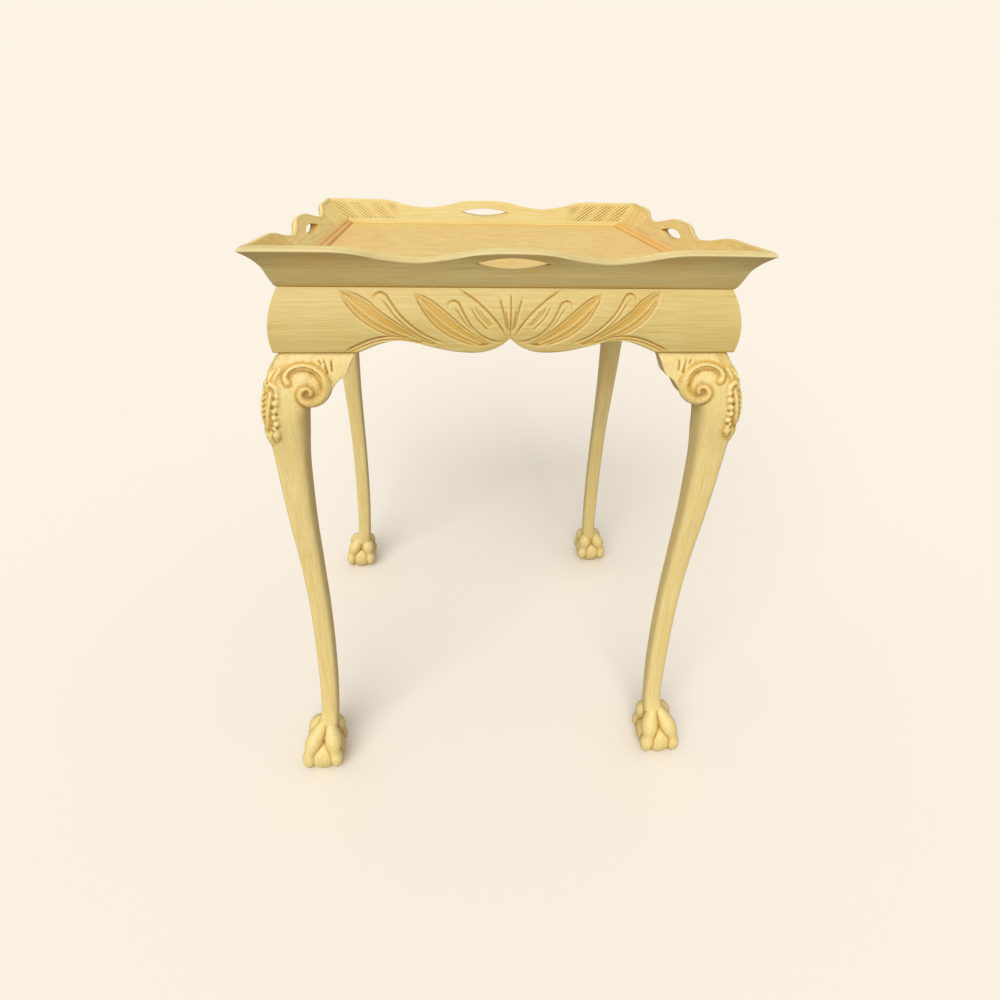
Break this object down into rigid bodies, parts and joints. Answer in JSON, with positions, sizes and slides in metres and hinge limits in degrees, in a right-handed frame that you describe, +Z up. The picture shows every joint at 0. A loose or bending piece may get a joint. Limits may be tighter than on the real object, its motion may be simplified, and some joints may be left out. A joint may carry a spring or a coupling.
{
  "type": "tray top tea table",
  "caption": "Small painted tea table: flared tray with serpentine rim and hand holes, lifting off a carved apron frame on cabriole legs with claw-and-ball feet.",
  "frame": {"origin": "on the floor under the middle of the table", "axes": "+Z up, +X to the right of someone facing the front, +Y to the back"},
  "size_m": [0.5128, 0.4648, 0.688],
  "materials": {
    "painted_wood": "straw yellow paint, rubbed with amber glaze, satin",
    "stained_floor": "golden stain over straight grain, satin",
    "glazed_bead": "amber glazed paint, satin",
    "bare_wood": "sawn, unfinished",
    "steel": "zinc plated"
  },
  "bodies": {
    "frame": {"back_rail": "painted_wood", "bracket_back_left_back": "painted_wood", "bracket_back_left_left": "painted_wood", "bracket_back_right_back": "painted_wood", "bracket_back_right_right": "painted_wood", "bracket_front_left_front": "painted_wood", "bracket_front_left_left": "painted_wood", "bracket_front_right_front": "painted_wood", "bracket_front_right_right": "painted_wood", "corner_block_back_left": "bare_wood", "corner_block_back_right": "bare_wood", "corner_block_front_left": "bare_wood", "corner_block_front_right": "bare_wood", "corner_block_screws": "steel", "front_rail": "painted_wood", "left_rail": "painted_wood", "leg_back_left": "painted_wood", "leg_back_right": "painted_wood", "leg_bolt_nuts": "steel", "leg_bolt_washers": "steel", "leg_bolts": "steel", "leg_front_left": "painted_wood", "leg_front_right": "painted_wood", "right_rail": "painted_wood"},
    "tray": {"tray_back_bead": "glazed_bead", "tray_back_wall": "painted_wood", "tray_cleat_back": "bare_wood", "tray_cleat_front": "bare_wood", "tray_cleat_screws": "steel", "tray_floor": "stained_floor", "tray_front_bead": "glazed_bead", "tray_front_wall": "painted_wood", "tray_left_bead": "glazed_bead", "tray_left_wall": "painted_wood", "tray_right_bead": "glazed_bead", "tray_right_wall": "painted_wood"}
  },
  "joints": [
    {"name": "tray_lift", "type": "slide", "parent": "frame", "child": "tray", "axis": [0, 0, 1], "range_m": [0, 0.12]}
  ]
}
